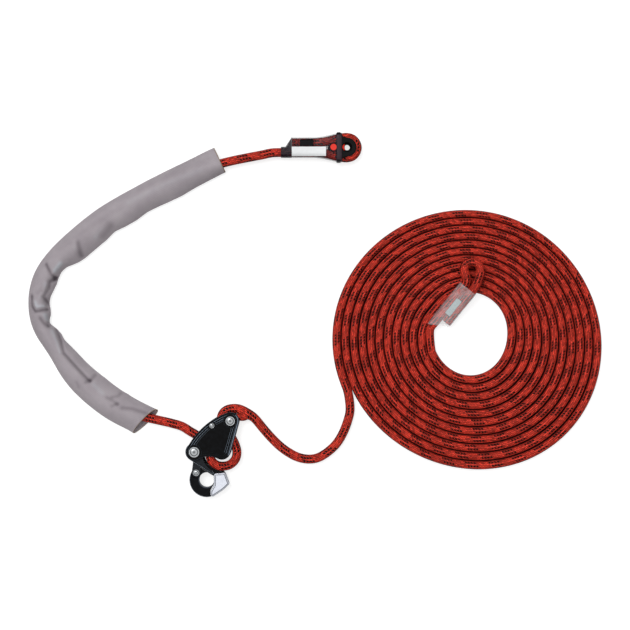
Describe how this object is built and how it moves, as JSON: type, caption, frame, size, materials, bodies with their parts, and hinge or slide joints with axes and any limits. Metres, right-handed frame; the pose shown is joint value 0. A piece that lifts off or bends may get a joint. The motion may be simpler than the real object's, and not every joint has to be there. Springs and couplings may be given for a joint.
{
  "type": "tree climbing lanyard",
  "caption": "Work positioning lanyard of braided rope with a two-plate cam adjuster, a thimble eye, a woven wear sleeve and a flat coil that ends in a small sewn eye",
  "frame": {"origin": "on the flat outer face of the adjuster's rear plate, below the middle of the plates", "axes": "+Z is normal to the plates, out of the front plate and up as the lanyard lies on a table; +Y points from the connector eye to the top rivet, and +X to the coil"},
  "size_m": [0.7265, 0.4618, 0.0271],
  "materials": {
    "black_anodised": "black anodised aluminium, satin",
    "grey_anodised": "dark grey anodised aluminium, satin",
    "bare_steel": "bright turned steel",
    "bare_aluminium": "bare forged aluminium, fine blasted",
    "red_rope": "braided polyester, matt",
    "black_nylon": "moulded nylon, matt",
    "red_rubber": "soft rubber",
    "smoky_cover": "smoky clear shrink cover",
    "clear_cover": "milky clear shrink sleeve",
    "pale_label": "bare label, matt",
    "dark_label": "bare dark label, matt",
    "grey_weave": "close woven tube, matt"
  },
  "bodies": {
    "lanyard": {"front_plate": "black_anodised", "rear_plate": "black_anodised", "pivot_rivet": "bare_steel", "pivot_bush": "bare_steel", "top_rivet": "bare_steel", "top_bush": "bare_steel", "guide_rivet": "bare_steel", "guide_spacer": "bare_steel", "rope_lead": "red_rope", "rope_grip_loop": "red_rope", "rope_tail": "red_rope", "rope_coil": "red_rope", "rope_eye": "red_rope", "end_eye": "red_rope", "protective_sleeve": "grey_weave", "thimble": "black_nylon", "eye_keeper": "red_rubber", "keeper_button": "red_rubber", "splice_cover": "smoky_cover", "splice_label": "pale_label", "splice_tag": "dark_label", "end_shrink_sleeve": "clear_cover", "end_label": "pale_label"},
    "cam_arm": {"arm_front_cheek": "grey_anodised", "arm_rear_cheek": "grey_anodised", "arm_cam": "bare_steel", "arm_spring": "bare_steel", "nose_plate": "bare_aluminium", "nose_pin": "bare_steel", "hook_rivet": "bare_steel"},
    "connector_hook": {"eye_hook": "black_anodised"}
  },
  "joints": [
    {"name": "arm_pivot", "type": "hinge", "parent": "lanyard", "child": "cam_arm", "pos_m": [-0.0243, -0.0145, 0.0093], "axis": [0, 0, 1], "range_deg": [-35, 0]},
    {"name": "hook_swing", "type": "hinge", "parent": "cam_arm", "child": "connector_hook", "pos_m": [-0.0221, -0.0409, 0.0093], "axis": [0, 0, 1], "range_deg": [-50, 0]}
  ]
}
